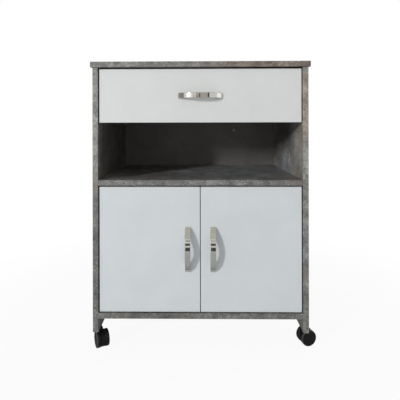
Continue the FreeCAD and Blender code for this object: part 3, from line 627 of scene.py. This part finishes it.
# Casters: two wheels of moulded black plastic on one axle, a hood of the same plastic between them, and
# a blackened steel stem that turns in a plastic socket pressed into the lower end of each side.
def moulded_black(name, shade, roughness, scuffs):
    """Black moulded plastic with a fine grain, grey dust and scuffs where it rubs the floor."""
    made, place = new_finish(name)
    grain = mottle(place, 0.0011, 3.0, 0.6)
    dust = mottle(place, 0.016, 4.0, 0.65)
    light = tint(shade + 12, shade + 13, shade + 13)
    colour = ramp(grain, (0.3, tint(shade, shade + 2, shade + 2)), (0.7, light))
    rubbed = ease(dust, 0.52, 0.72) * scuffs
    colour = blend(rubbed, colour, tint(66, 67, 66))
    rough = roughness + grain * 0.12 + rubbed * 0.2
    made.node_tree.nodes["Principled BSDF"].inputs["Specular IOR Level"].default_value = 0.16
    return finish_with(made, grain, 0.00006, 0.45, base_color=colour, roughness=rough)


tyre_black = moulded_black("tyre_black", 16, 0.46, 0.25)
# The rim corner gets a lighter grey: painted highlight of the lamp on the rounded rim, with scuffs.
rim_highlight_black = moulded_black("rim_painted_highlight", 70, 0.50, 0.35)
hood_black = moulded_black("hood_black", 16, 0.38, 0.12)
dress("caster_sockets", hood_black)
black_zinc = plated_steel("black_zinc", tint(24, 24, 25), tint(38, 38, 39), 0.40)
WHEEL, WIDTH, RIM, AXLE = 0.0224, 0.0112, 0.002, 0.00255
GROOVE = WHEEL - 0.0002
# The wheel's profile runs from the hub cap outside over the tread to the blind axle hole inside.
wheel_profile = [(0, 0.0103), (0.0030, 0.0103), (0.0034, 0.0106), (0.0052, 0.0106), (0.0056, 0.0102)]
wheel_profile += [(0.0160, 0.0102), (0.0169, 0.0110), (0.0173, 0.0112), (0.0188, 0.0112)]
wheel_profile += [(0.0190, 0.0109), (0.0194, 0.0109), (0.0196, 0.0112)]
wheel_profile += arc_points((WHEEL - RIM, WIDTH - RIM), RIM, 90, 0)
wheel_profile += [(WHEEL, 0.0060), (GROOVE, 0.0057), (GROOVE, 0.0053), (WHEEL, 0.0050)]
wheel_profile += arc_points((WHEEL - RIM, RIM), RIM, 0, -90)
wheel_profile += [(0.0180, 0.0), (0.0176, 0.0008), (0.0080, 0.0008), (0.0076, 0.0), (AXLE, 0.0)]
wheel_profile += [(AXLE, 0.0083), (0, 0.0083)]
for corner in ("front_left", "front_right", "rear_left", "rear_right"):
    wheel_nodes = [corner + "_caster_wheel_a", corner + "_caster_wheel_b"]
    middles = [sum(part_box(node), Vector((0, 0, 0))) / 2 for node in wheel_nodes]
    for node, here, other in zip(wheel_nodes, middles, reversed(middles)):
        outward = (here - other).normalized()
        wheel_shape = turned(wheel_profile, here - outward * (WIDTH / 2), outward, 64)
        for face in wheel_shape.faces:
            away = face.calc_center_median() - here
            beside = away.dot(outward)
            reach = (away - outward * beside).length
            # Faces on the outer rim corner take the lighter grey of the painted highlight.
            face.material_index = 1 if reach > WHEEL - RIM and beside > WIDTH / 2 - RIM else 0
        wheel_mesh = smooth_mesh(node + "_turned", wheel_shape, tyre_black, 28)
        wheel_mesh.materials.append(rim_highlight_black)
        new_piece(node + "_turned", wheel_mesh, node)
    dress(corner + "_caster_hood", hood_black)
    dress(corner + "_caster_pins", black_zinc)


# Drawer runners: two rolled steel profiles a side with a pale epoxy coat. A nylon roller turns on a
# riveted pin at the front of the cabinet profile, another at the rear of the drawer profile.
def epoxy_coat():
    made, place = new_finish("pale_epoxy_coat")
    peel = mottle(place, 0.0016, 2.0, 0.55)
    shade = mottle(place, 0.03, 3.0)
    tracks = ease(mottle(place, 0.008, 4.0, 0.7), 0.60, 0.74)
    colour = ramp(shade, (0.3, tint(206, 207, 204)), (0.7, tint(224, 225, 222)))
    colour = blend(tracks * 0.35, colour, tint(150, 150, 148))
    rough = 0.34 + peel * 0.14 + tracks * 0.1
    return finish_with(made, peel, 0.00008, 0.4, base_color=colour, roughness=rough)


def nylon():
    made, place = new_finish("roller_nylon")
    cloud = mottle(place, 0.005, 3.0)
    fine = mottle(place, 0.0009, 2.0)
    colour = ramp(cloud, (0.3, tint(196, 194, 184)), (0.7, tint(220, 218, 208)))
    return finish_with(made, fine, 0.00005, 0.4, base_color=colour, roughness=0.38 + fine * 0.15)


runner_coat = epoxy_coat()
for node in ("left_cabinet_runner", "right_cabinet_runner", "left_drawer_runner", "right_drawer_runner"):
    dress(node, runner_coat)
roller_nylon = nylon()
BORE, BORE_EDGE, TREAD_ROUND = 0.00255, 0.0003, 0.0006
for node in ("left_front_roller", "right_front_roller", "left_rear_roller", "right_rear_roller"):
    low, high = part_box(node)
    radius, width = (high.z - low.z) / 2, high.x - low.x
    roller_profile = [(BORE, BORE_EDGE), (BORE + BORE_EDGE, 0.0), (0.0044, 0.0), (0.0048, 0.0005)]
    roller_profile += [(0.0066, 0.0005), (0.0070, 0.0)]
    roller_profile += arc_points((radius - TREAD_ROUND, TREAD_ROUND), TREAD_ROUND, -90, 0)
    roller_profile += [(point[0], width - point[1]) for point in reversed(roller_profile)]
    roller_profile.append(roller_profile[0])
    roller_start = (low.x, (low.y + high.y) / 2, (low.z + high.z) / 2)
    roller_shape = turned(roller_profile, roller_start, (1, 0, 0))
    roller_mesh = smooth_mesh(node + "_turned", roller_shape, roller_nylon)
    new_piece(node + "_turned", roller_mesh, node)


# Screws of the runners and hinge plates: short steel wood screws with domed heads and a cross recess,
# driven into the cabinet sides and the drawer sides.
def new_screw_tree():
    sizes = ("Head Diameter", "Head Height", "Shank Diameter", "Length", "Recess", "Thread Pitch")
    tree, screw = new_tree("domed_screw", sizes)
    start, height = screw["Spots"], screw["Head Height"]
    sockets = {"Vertices": 24, "Side Segments": 5, "Radius": screw["Head Diameter"] * 0.5, "Depth": height}
    head = lift(start.node("GeometryNodeMeshCylinder", {}, sockets), height * 0.5)
    spot = start.node("GeometryNodeInputPosition")
    x, y, z = along_axes(spot)
    rise = 1 - z / height
    swell = rise.node("ShaderNodeMath", {"operation": "SQRT"}, {0: 1 - rise * rise * 0.62})
    domed = spot.node("ShaderNodeCombineXYZ", {}, {"X": x * swell, "Y": y * swell, "Z": z})
    head = head.node("GeometryNodeSetPosition", {}, {"Geometry": head, "Position": domed})
    slots = []
    for turn in (0, 1):
        sides = [screw["Recess"], screw["Recess"] * 0.26]
        sockets = {"X": sides[turn], "Y": sides[1 - turn], "Z": height * 1.5}
        size = start.node("ShaderNodeCombineXYZ", {}, sockets)
        slots.append(start.node("GeometryNodeMeshCube", {}, {"Size": size}))
    head = head.node("GeometryNodeMeshBoolean", {"operation": "DIFFERENCE"}, {0: head, 1: slots})
    shank_length = screw["Length"] - height
    sockets = {"Vertices": 12, "Side Segments": 40, "Radius": screw["Shank Diameter"] * 0.5}
    sockets["Depth"] = shank_length
    shank = lift(start.node("GeometryNodeMeshCylinder", {}, sockets), height + shank_length * 0.5)
    turns = z / screw["Thread Pitch"]
    phase = turns.node("ShaderNodeMath", {"operation": "FRACT"}, {0: turns})
    thread = 1 - abs(phase - 0.5) * 0.44
    threaded = spot.node("ShaderNodeCombineXYZ", {}, {"X": x * thread, "Y": y * thread, "Z": z})
    shank = shank.node("GeometryNodeSetPosition", {}, {"Geometry": shank, "Position": threaded})
    set_on_spots(screw, [head, shank])
    return tree


screw_tree = new_screw_tree()
WOOD_SCREW = (0.0064, 0.0013, 0.0032)


def screw_row(spots, kind):
    """A row of like screws for their spots. The kind is head diameter, head height and shank diameter."""
    head, height, shank = kind
    sizes = {"Head Diameter": head, "Head Height": height, "Shank Diameter": shank}
    sizes.update({"Length": spots[0][2], "Recess": head * 0.56, "Thread Pitch": shank * 0.38})
    return screw_tree, spots, sizes


for node in ("carcass_screws", "drawer_runner_screws"):
    fastened(node + "_domed", node, bright_zinc, [screw_row(spots_of(node), WOOD_SCREW)])


# Drawer box: sides and back of chipboard in light grey melamine, a thin hardboard bottom faced to match,
# and long screws with flush heads that hold the back between the sides.
def pale_melamine(name, node, shift):
    """Light grey melamine on a board: faint printed pores, a little dirt, rubbed edges."""
    made, place = new_finish(name)
    low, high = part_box(node)
    shifted = redrawn(place, Location=(0.29 * shift, 0.17 * shift, 0.41 * shift))
    shade = mottle(shifted, 0.06, 4.0, 0.6)
    pores = mottle(shifted, 0.0018, 3.0, 0.6)
    colour = ramp(shade, (0.3, tint(194, 195, 193)), (0.7, tint(206, 207, 205)))
    rubbed = ease(edge_distance(place, low, high), 0.002, 0.0) * ease(pores, 0.45, 0.6)
    colour = blend(rubbed * 0.3, colour, tint(176, 174, 168))
    return finish_with(made, pores, 0.00008, 0.4, base_color=colour, roughness=0.42 + pores * 0.16)


for shift, (name, node, raw_sides) in enumerate((
    ("pale_drawer_left", "drawer_left_side", (DOWN, BACK)),
    ("pale_drawer_right", "drawer_right_side", (DOWN, BACK)),
    ("pale_drawer_back", "drawer_back", (DOWN, LEFT, RIGHT)),
)):
    faced_board(name, node, pale_melamine(name + "_face", node, shift), chipboard, raw_sides)
bottom_face = pale_melamine("drawer_bottom_face", "drawer_bottom", 4)
raw_sides = (DOWN, BACK, LEFT, RIGHT)
faced_board("pale_drawer_bottom", "drawer_bottom", bottom_face, hardboard_brown, raw_sides)
corner_rows = [screw_row(spots_of("drawer_corner_screws"), WOOD_SCREW)]
fastened("drawer_corner_screws_flush", "drawer_corner_screws", bright_zinc, corner_rows)


# Drawer front and doors: white satin melamine on chipboard, banded on all four edges. They close flush
# between the sides; the back of each door has the drillings for two hinge cups.
def white_melamine(name, node, shift, dark, light, dust):
    """White satin melamine: a fine peel, faint clouds, band seams, rubbed edges, painted shade on the top
    edge.
    """
    made, place = new_finish(name)
    low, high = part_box(node)
    shifted = redrawn(place, Location=(0.31 * shift, 0.19 * shift, 0.47 * shift))
    cloud = mottle(shifted, 0.09, 3.0)
    peel = mottle(shifted, 0.0014, 2.0, 0.55)
    smear = mottle(shifted, 0.045, 4.0, 0.65)
    colour = ramp(cloud * 0.7 + peel * 0.3, (0.3, dark), (0.7, light))
    seams = [(0, low.x + BAND), (0, high.x - BAND), (2, low.z + BAND), (2, high.z - BAND)]
    seam = band_seam(place, seams)
    colour = blend(seam * 0.25, colour, tint(186, 187, 186))
    wear = ease(edge_distance(place, low, high), 0.0012, 0.0) * ease(smear, 0.54, 0.66)
    colour = blend(wear * 0.25, colour, tint(190, 189, 184))
    # Upward faces get painted shade of the closed gap above them; the dust argument sets how much.
    upward = along_axes(place.node("ShaderNodeNewGeometry", {}, {}, 1))[2]
    painted_top_shade = ease(upward, 0.30, 0.50) * (0.65 + smear * 0.5) * dust
    colour = blend(painted_top_shade, colour, tint(122, 120, 116))
    rough = 0.36 + peel * 0.12 + ease(smear, 0.5, 0.75) * 0.10
    return finish_with(made, peel - seam * 0.5, 0.00005, 0.3, base_color=colour, roughness=rough)


# The last number in each row is the strength of painted shade on the top edge.
for shift, (name, node, dark, light, dust) in enumerate((
    ("white_drawer_front", "drawer_front", tint(216, 218, 217), tint(222, 224, 223), 0.2),
    # The doors' whites are darker and cooler than the drawer front's: painted shade of the weaker light
    # lower down.
    ("white_left_door", "left_door", tint(211, 216, 219), tint(218, 223, 226), 0.9),
    ("white_right_door", "right_door", tint(211, 216, 219), tint(218, 223, 226), 0.9),
)):
    face = white_melamine(name + "_face", node, shift, dark, light, dust)
    faced_board(name, node, face, chipboard)


# Hinges: concealed steel hinges with a nickel plating. The cup sits in the door, the arm is screwed to a
# plate on the cabinet side, and the door turns on a pin across the cup.
nickel = plated_steel("hinge_nickel", tint(158, 155, 149), tint(196, 193, 187), 0.26)
for node in ("hinge_arms", "hinge_plates", "left_hinge_cups", "right_hinge_cups"):
    dress(node, nickel)


# Handles: flat bows of chromed zinc, cast in one piece, level on the drawer and upright on the doors.
# Each foot has a threaded hole; a screw from the back of the board holds it.
def chrome_plate():
    made, place = new_finish("handle_chrome")
    haze = mottle(place, 0.018, 4.0, 0.65)
    fine = mottle(place, 0.0011, 2.0, 0.6)
    colour = ramp(haze * 0.7 + fine * 0.3, (0.3, tint(197, 196, 191)), (0.7, tint(207, 206, 201)))
    prints = ease(haze, 0.52, 0.70)
    rough = 0.05 + fine * 0.04 + prints * 0.06
    return finish_with(made, fine, 0.000012, 0.25, base_color=colour, roughness=rough, metallic=1.0)


def arc_through(start, top, end, steps):
    """Points of a round arc that starts and ends level and passes through its top, at x = 0."""
    half, rise = (end[0] - start[0]) / 2, top[1] - start[1]
    radius = (half * half + rise * rise) / (2 * abs(rise))
    centre_y = top[1] - math.copysign(radius, rise)
    reach = math.asin(half / radius)
    points = []
    for step in range(steps + 1):
        angle = -reach + 2 * reach * step / steps
        points.append((radius * math.sin(angle), centre_y + math.copysign(radius, rise) * math.cos(angle)))
    return points


def bow_outline(length, span, rise, strip, foot):
    """Side view of a handle: the outer arc, then the feet and the inner arc. Y runs into the board."""
    outer = arc_through((-length / 2, -foot), (0, -rise), (length / 2, -foot), 140)
    inner = arc_through((-span / 2, 0), (0, strip - rise), (span / 2, 0), 56)
    end, pad = length / 2, 0.006
    right_foot = [(end, -foot / 2), (end, 0), (end - pad, 0)]
    left_foot = [(pad - end, 0), (-end, 0), (-end, -foot / 2)]
    return outer + right_foot + list(reversed(inner)) + left_foot


def inset_outline(outline, distance):
    """The outline drawn in by a distance along its corner normals, and by less at sharp corners."""
    sharpest = 0.4
    drawn = []
    for i, here in enumerate(outline):
        before, after = Vector(outline[i - 1]), Vector(outline[(i + 1) % len(outline)])
        first, second = (Vector(here) - before).normalized(), (after - Vector(here)).normalized()
        normals = [Vector((-way.y, way.x)) for way in (first, second)]
        inward = normals[0] + normals[1]
        inward /= max(inward.length_squared / 2, sharpest)
        drawn.append(Vector(here) + inward * distance)
    return drawn


def bow_handle(middle, along, width, edge):
    """A bow handle: its outline drawn through its width, with rounded edges. Along is its long direction."""
    length, corner, steps = 0.123, 0.003, 5
    outline = bow_outline(length, span=0.086, rise=0.028, strip=0.004, foot=0.0025)
    across = Vector(along).cross(Vector((0, 1, 0)))
    levels = []
    for step in range(steps + 1):
        angle = math.pi / 2 * step / steps
        levels.append((-width / 2 + edge * (1 - math.cos(angle)), edge * (1 - math.sin(angle))))
    # One more level just past the rounding keeps the face between the two edges flat.
    levels.append((-width / 2 + edge * 1.25, 0.0))
    levels += [(-height, inset) for height, inset in reversed(levels)]
    shape = bmesh.new()
    rings = []
    for height, inset in levels:
        ring = []
        for x, y in inset_outline(outline, inset):
            past = max(abs(x) - length / 2 + corner, 0)
            narrowed = 1 - (corner - math.sqrt(max(corner * corner - past * past, 0))) / (width / 2)
            spot = middle + Vector(along) * x + Vector((0, y, 0)) + across * height * narrowed
            ring.append(shape.verts.new(spot))
        rings.append(ring)
    for lower, upper in zip(rings, rings[1:]):
        for i in range(len(lower)):
            after = (i + 1) % len(lower)
            shape.faces.new((lower[i], lower[after], upper[after], upper[i]))
    shape.faces.new(reversed(rings[0]))
    shape.faces.new(rings[-1])
    bmesh.ops.recalc_face_normals(shape, faces=shape.faces)
    return shape


handle_chrome = chrome_plate()
for name, node, along in (
    ("bow_drawer_handle", "drawer_handle", (1, 0, 0)),
    ("bow_left_handle", "left_door_handle", (0, 0, 1)),
    ("bow_right_handle", "right_door_handle", (0, 0, 1)),
):
    low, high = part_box(node)
    foot_middle = Vector(((low.x + high.x) / 2, high.y, (low.z + high.z) / 2))
    handle_shape = bow_handle(foot_middle, along, width=0.015, edge=0.0012)
    new_piece(name, smooth_mesh(name, handle_shape, handle_chrome, 40), node)
HANDLE_SCREW, SHORTEST = (0.008, 0.0022, 0.004), 0.018
for node in ("drawer_handle_screws", "left_door_screws", "right_door_screws"):
    spots = spots_of(node)
    rows = [screw_row([spot for spot in spots if spot[2] > SHORTEST], HANDLE_SCREW)]
    cup_spots = [spot for spot in spots if spot[2] <= SHORTEST]
    if cup_spots:
        rows.append(screw_row(cup_spots, WOOD_SCREW))
    fastened(node + "_domed", node, bright_zinc, rows)


# Studio: a white floor that keeps the cabinet's shadow, even white surroundings, one tall soft lamp high
# on the left, and cards that only show in the chrome.
def seen_as(tree, *kinds):
    """1 for rays of these kinds, 0 for all others."""
    path = tree.nodes.new("ShaderNodeLightPath")
    rays = [Field(tree, path.outputs[f"Is {kind} Ray"]) for kind in kinds]
    mask = rays[0]
    for ray in rays[1:]:
        mask = ray.maths("MAXIMUM", mask, ray)
    return mask


scene = bpy.context.scene
world = bpy.data.worlds.new("studio")
scene.world = world
world.use_nodes = True
sky = world.node_tree.nodes["Background"]
FILL, MIRRORED = 0.48, 0.90
seen = seen_as(world.node_tree, "Camera", "Transmission")
level = FILL + seen * (1 - FILL) + seen_as(world.node_tree, "Glossy") * (MIRRORED - FILL)
sky.inputs["Color"].default_value = (1, 1, 1, 1)
world.node_tree.links.new(level.socket, sky.inputs["Strength"])


def staged(name, corners, faces, finish):
    """A plain surface of the studio."""
    mesh = bpy.data.meshes.new(name)
    mesh.from_pydata(corners, [], faces)
    mesh.materials.append(finish)
    surface = bpy.data.objects.new(name, mesh)
    scene.collection.objects.link(surface)
    return surface


def floor_white():
    """White floor that shades softly near the cabinet and is even white farther off."""
    made, place = new_finish("floor_white")
    tree = made.node_tree
    shade = mottle(place, 0.3, 2.0)
    colour = ramp(shade, (0.3, tint(226, 226, 226)), (0.7, tint(232, 232, 232)))
    finish_with(made, base_color=colour, roughness=0.8)
    away = place.node("ShaderNodeVectorMath", {"operation": "LENGTH"}, {0: place}, 1)
    glow = place.node("ShaderNodeEmission", {}, {"Color": (1, 1, 1, 1), "Strength": 1.0})
    body = Field(tree, tree.nodes["Principled BSDF"].outputs[0])
    share = seen_as(tree, "Camera", "Transmission") * (0.93 + ease(away, 0.45, 1.2) * 0.07)
    mixed = place.node("ShaderNodeMixShader", {}, {0: share, 1: body, 2: glow})
    tree.links.new(mixed.socket, tree.nodes["Material Output"].inputs["Surface"])
    return made


FLOOR = 6.0
floor_corners = [(-FLOOR, -FLOOR, 0), (FLOOR, -FLOOR, 0), (FLOOR, FLOOR, 0), (-FLOOR, FLOOR, 0)]
staged("studio_floor", floor_corners, [(0, 1, 2, 3)], floor_white())


def mirrored_card(name, corners, shade, strength=1.0):
    """A card that only shows in shiny surfaces. Its shade is as a screen shows it, 0 to 255."""
    made, place = new_finish(name)
    faded = tint(*[0.92 * part for part in shade])
    colour = ramp(mottle(place, 0.4, 2.0), (0.3, faded), (0.7, tint(*shade)))
    glow = place.node("ShaderNodeEmission", {}, {"Color": colour, "Strength": strength})
    made.node_tree.links.new(glow.socket, made.node_tree.nodes["Material Output"].inputs["Surface"])
    card = staged(name, corners, [(0, 1, 2, 3)], made)
    card.visible_camera = card.visible_diffuse = card.visible_shadow = card.visible_transmission = False


def upright_card(name, start, end, low, high, shade, strength=1.0):
    """A card that stands on the line from start to end, between two heights."""
    corners = [(*start, low), (*end, low), (*end, high), (*start, high)]
    mirrored_card(name, corners, shade, strength)


CARD_Y, SPOT_Y = -1.36, -1.35
for card_name, y, x_from, x_to, low, high, shade in (
    ("low_dark_card", CARD_Y, -0.38, 0.47, 0.02, 0.30, (84, 83, 78)),
    ("middle_dark_card", CARD_Y, -0.38, 0.47, 0.42, 0.60, (92, 90, 84)),
    ("brown_card", CARD_Y, -0.30, 0.58, 0.74, 0.86, (210, 200, 188)),
    ("spot_card_1", SPOT_Y, -0.52, -0.43, 0.74, 0.797, (62, 60, 50)),
    ("spot_card_2", SPOT_Y, -0.31, -0.21, 0.74, 0.797, (62, 60, 50)),
    ("spot_card_3", SPOT_Y, -0.08, 0.02, 0.765, 0.812, (70, 68, 58)),
    ("spot_card_4", SPOT_Y, 0.62, 0.82, 0.72, 0.88, (70, 68, 58)),
):
    upright_card(card_name, (x_from, y), (x_to, y), low, high, shade)
CEILING = 2.4
ceiling_corners = [(-3, -4, CEILING), (3, -4, CEILING), (3, 0.8, CEILING), (-3, 0.8, CEILING)]
mirrored_card("ceiling_card", ceiling_corners, (218, 219, 208))
upright_card("left_dark_card", (-1.2, -0.80), (-1.2, -0.25), 0.6, 1.0, (168, 164, 158))
upright_card("left_white_card", (-1.48, -1.28), (-1.0, -1.74), 0.68, 0.98, (255, 255, 255), 1.7)
upright_card("right_white_card", (1.2, -0.70), (1.2, -0.32), 0.6, 1.0, (255, 255, 255), 1.5)

key = bpy.data.lights.new("soft_key", "AREA")
key.shape = "RECTANGLE"
key.size, key.size_y = 0.42, 1.0
key.energy = 244
key_holder = bpy.data.objects.new("soft_key", key)
scene.collection.objects.link(key_holder)
aim = Vector((0, -0.15, 0.45))
key_from = aim + Vector((-4.65, -4.95, 1.80))
key_holder.location = key_from
key_holder.rotation_euler = (aim - key_from).to_track_quat("-Z", "Y").to_euler()


# Camera: level, straight in front of the cabinet and a little below its top. The frame is shifted down, so
# that the upright edges stay upright.
lens = bpy.data.cameras.new("front_camera")
lens.sensor_width = 36
lens.lens = 33.35
lens.shift_x = 0.0169
lens.shift_y = -0.1869
lens.dof.use_dof = False
camera = bpy.data.objects.new("front_camera", lens)
scene.collection.objects.link(camera)
camera.location = (-0.0065, -1.1965, 0.626)
camera.rotation_euler = (math.radians(90), math.radians(0.12), math.radians(0.7))
scene.camera = camera
scene.view_settings.view_transform = "Standard"
